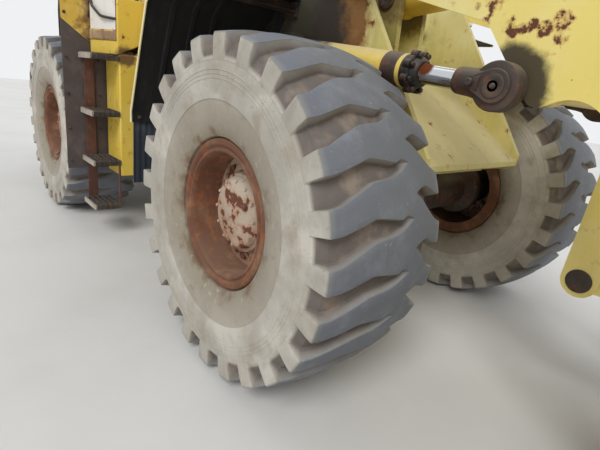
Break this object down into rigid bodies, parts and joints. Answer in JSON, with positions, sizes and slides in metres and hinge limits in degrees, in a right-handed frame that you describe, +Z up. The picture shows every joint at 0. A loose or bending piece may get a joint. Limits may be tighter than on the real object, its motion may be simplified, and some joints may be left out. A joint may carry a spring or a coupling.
{
  "type": "articulated wheel loader",
  "caption": "Articulated wheel loader with lug tyres, hollow cab, ladders, lift boom, Z-bar tilt linkage with cylinders, and a wide bucket.",
  "frame": {"origin": "on the ground under the middle of the machine, between bucket edge and counterweight", "axes": "+X forward, +Y to the driver's left, +Z up"},
  "size_m": [8.68, 2.95, 3.66],
  "materials": {
    "frame_yellow": "worn yellow paint with rust",
    "body_yellow": "worn yellow paint",
    "rim_rust": "rusty rim paint",
    "tyre_rubber": "worn rubber",
    "dark_steel": "black paint",
    "worn_steel": "worn bare steel",
    "rod_chrome": "chromed rod",
    "cast_grey": "dirty casting",
    "ladder_brown": "rusty brown steel",
    "fender_grey": "pale dusty yellow",
    "flap_rubber": "ribbed rubber",
    "cab_glass": "tinted glass",
    "seat_fabric": "dark fabric",
    "console_plastic": "dark plastic",
    "lamp_lens": "lamp"
  },
  "bodies": {
    "rear_frame": {"rear_frame": "dark_steel", "rear_axle": "cast_grey", "transmission": "cast_grey", "engine": "cast_grey", "hood": "body_yellow", "radiator_grille": "dark_steel", "counterweight": "dark_steel", "cab_frame": "body_yellow", "cab_roof": "body_yellow", "cab_glass": "cab_glass", "operator_seat": "seat_fabric", "steering_console": "console_plastic", "platforms": "body_yellow", "side_boxes": "body_yellow", "ladders": "ladder_brown", "rear_fenders": "fender_grey", "handrails": "dark_steel", "exhaust_stack": "dark_steel", "air_cleaner": "dark_steel", "work_lamps": "lamp_lens", "mirrors": "dark_steel"},
    "front_frame": {"front_frame": "frame_yellow", "front_axle": "cast_grey", "front_fenders": "fender_grey", "mud_flaps": "flap_rubber", "headlamps": "lamp_lens"},
    "boom": {"boom": "frame_yellow"},
    "bellcrank": {"bellcrank": "frame_yellow"},
    "tilt_link": {"tilt_link": "frame_yellow"},
    "bucket": {"bucket": "worn_steel", "cutting_edge": "worn_steel"},
    "tilt_barrel": {"tilt_cylinder_barrel": "dark_steel"},
    "tilt_rod": {"tilt_cylinder_rod": "rod_chrome"},
    "cab_door": {"cab_door": "body_yellow", "door_glass": "cab_glass"},
    "wheel_front_right": {"tyre_front_right": "tyre_rubber", "rim_front_right": "rim_rust"},
    "wheel_front_left": {"tyre_front_left": "tyre_rubber", "rim_front_left": "rim_rust"},
    "wheel_rear_right": {"tyre_rear_right": "tyre_rubber", "rim_rear_right": "rim_rust"},
    "wheel_rear_left": {"tyre_rear_left": "tyre_rubber", "rim_rear_left": "rim_rust"},
    "lift_barrel_right": {"lift_cylinder_right_barrel": "dark_steel"},
    "lift_rod_right": {"lift_cylinder_right_rod": "rod_chrome"},
    "lift_barrel_left": {"lift_cylinder_left_barrel": "dark_steel"},
    "lift_rod_left": {"lift_cylinder_left_rod": "rod_chrome"},
    "steering_barrel_right": {"steering_cylinder_right_barrel": "dark_steel"},
    "steering_rod_right": {"steering_cylinder_right_rod": "rod_chrome"},
    "steering_barrel_left": {"steering_cylinder_left_barrel": "dark_steel"},
    "steering_rod_left": {"steering_cylinder_left_rod": "rod_chrome"}
  },
  "joints": [
    {"name": "articulation", "type": "hinge", "parent": "rear_frame", "child": "front_frame", "pos_m": [-0.425, 0, 0.995], "axis": [0, 0, 1], "range_deg": [-36, 36]},
    {"name": "wheel_front_right_spin", "type": "hinge", "parent": "front_frame", "child": "wheel_front_right", "pos_m": [1.29, -1.1, 0.875], "axis": [0, 1, 0], "continuous": true},
    {"name": "wheel_front_left_spin", "type": "hinge", "parent": "front_frame", "child": "wheel_front_left", "pos_m": [1.29, 1.1, 0.875], "axis": [0, 1, 0], "continuous": true},
    {"name": "wheel_rear_right_spin", "type": "hinge", "parent": "rear_frame", "child": "wheel_rear_right", "pos_m": [-2.14, -1.1, 0.875], "axis": [0, 1, 0], "continuous": true},
    {"name": "wheel_rear_left_spin", "type": "hinge", "parent": "rear_frame", "child": "wheel_rear_left", "pos_m": [-2.14, 1.1, 0.875], "axis": [0, 1, 0], "continuous": true},
    {"name": "boom_lift", "type": "hinge", "parent": "front_frame", "child": "boom", "pos_m": [0.86, 0, 2.33], "axis": [0, -1, 0], "range_deg": [-2, 81]},
    {"name": "bucket_tilt", "type": "hinge", "parent": "boom", "child": "bucket", "pos_m": [3.12, 0, 0.42], "axis": [0, 1, 0], "range_deg": [-38, 122]},
    {"name": "bellcrank_turn", "type": "hinge", "parent": "boom", "child": "bellcrank", "pos_m": [2.64, 0, 1.7], "axis": [0, -1, 0], "range_deg": [-8.38, 25.81]},
    {"name": "tilt_link_turn", "type": "hinge", "parent": "bucket", "child": "tilt_link", "pos_m": [3.225, 0, 0.79], "axis": [0, -1, 0], "range_deg": [-21.16, 66.84]},
    {"name": "lift_barrel_right_turn", "type": "hinge", "parent": "front_frame", "child": "lift_barrel_right", "pos_m": [0.85, -0.668, 1.728], "axis": [0, -1, 0], "range_deg": [-2.17, 68.32]},
    {"name": "lift_rod_right_slide", "type": "slide", "parent": "lift_barrel_right", "child": "lift_rod_right", "axis": [0.9962, 0, -0.0871], "range_m": [-0.0219, 0.6877]},
    {"name": "lift_barrel_left_turn", "type": "hinge", "parent": "front_frame", "child": "lift_barrel_left", "pos_m": [0.85, 0.668, 1.728], "axis": [0, -1, 0], "range_deg": [-2.17, 68.32]},
    {"name": "lift_rod_left_slide", "type": "slide", "parent": "lift_barrel_left", "child": "lift_rod_left", "axis": [0.9962, 0, -0.0871], "range_m": [-0.0219, 0.6877]},
    {"name": "tilt_barrel_turn", "type": "hinge", "parent": "front_frame", "child": "tilt_barrel", "pos_m": [1.1, 0, 2.1], "axis": [0, -1, 0], "range_deg": [-2.44, 78.9]},
    {"name": "tilt_rod_slide", "type": "slide", "parent": "tilt_barrel", "child": "tilt_rod", "axis": [0.993, 0, 0.1178], "range_m": [-0.0129, 0.325]},
    {"name": "steering_barrel_right_turn", "type": "hinge", "parent": "rear_frame", "child": "steering_barrel_right", "pos_m": [-1.15, -0.44, 0.99], "axis": [0, 0, 1], "range_deg": [-8.88, 8.88]},
    {"name": "steering_rod_right_slide", "type": "slide", "parent": "steering_barrel_right", "child": "steering_rod_right", "axis": [0.9998, 0.0202, 0], "range_m": [-0.2614, 0.2614]},
    {"name": "steering_barrel_left_turn", "type": "hinge", "parent": "rear_frame", "child": "steering_barrel_left", "pos_m": [-1.15, 0.44, 0.99], "axis": [0, 0, 1], "range_deg": [-8.88, 8.88]},
    {"name": "steering_rod_left_slide", "type": "slide", "parent": "steering_barrel_left", "child": "steering_rod_left", "axis": [0.9998, -0.0202, 0], "range_m": [-0.2614, 0.2614]},
    {"name": "cab_door_swing", "type": "hinge", "parent": "rear_frame", "child": "cab_door", "pos_m": [-1.08, 0.816, 2.7], "axis": [0, 0, 1], "range_deg": [0, 85]}
  ],
  "couplings": [
    {"joint": "bellcrank_turn", "follows": "bucket_tilt", "ratio": 0.2075},
    {"joint": "tilt_link_turn", "follows": "bucket_tilt", "ratio": 0.5438},
    {"joint": "lift_barrel_right_turn", "follows": "boom_lift", "ratio": 0.83727},
    {"joint": "lift_rod_right_slide", "follows": "boom_lift", "m_per_rad": 0.48291},
    {"joint": "lift_barrel_left_turn", "follows": "boom_lift", "ratio": 0.83727},
    {"joint": "lift_rod_left_slide", "follows": "boom_lift", "m_per_rad": 0.48291},
    {"joint": "tilt_barrel_turn", "follows": "boom_lift", "ratio": 0.9679},
    {"joint": "tilt_rod_slide", "follows": "boom_lift", "m_per_rad": 0.22635},
    {"joint": "steering_barrel_right_turn", "follows": "articulation", "ratio": 0.2328},
    {"joint": "steering_rod_right_slide", "follows": "articulation", "m_per_rad": 0.4129},
    {"joint": "steering_barrel_left_turn", "follows": "articulation", "ratio": 0.2328},
    {"joint": "steering_rod_left_slide", "follows": "articulation", "m_per_rad": -0.4129}
  ]
}
